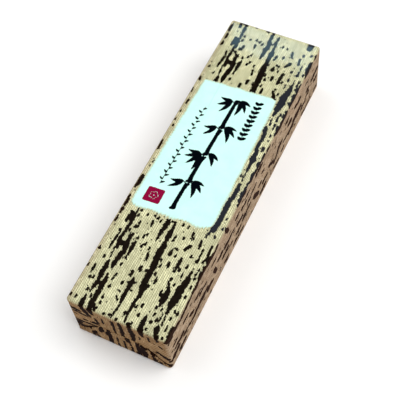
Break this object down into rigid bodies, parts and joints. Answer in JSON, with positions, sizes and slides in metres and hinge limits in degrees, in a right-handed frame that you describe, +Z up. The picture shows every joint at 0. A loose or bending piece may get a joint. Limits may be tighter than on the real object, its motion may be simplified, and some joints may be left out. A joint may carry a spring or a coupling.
{
  "type": "wrapped bar of yokan",
  "caption": "Oblong carton of sweet bean jelly in paper printed like bamboo sheath, with folded ends and a paper label with torn edges on its top.",
  "frame": {"origin": "middle of the underside, on the surface that the pack lies on", "axes": "+X to the right across the pack, +Y along it from the near end to the far end, +Z up"},
  "size_m": [0.0586, 0.21, 0.0382],
  "materials": {
    "sheath_print_paper": "printed paper, satin varnish",
    "torn_washi": "matt fibrous paper"
  },
  "bodies": {
    "root": {"wrapped_pack": "sheath_print_paper", "torn_label": "torn_washi"}
  },
  "joints": []
}
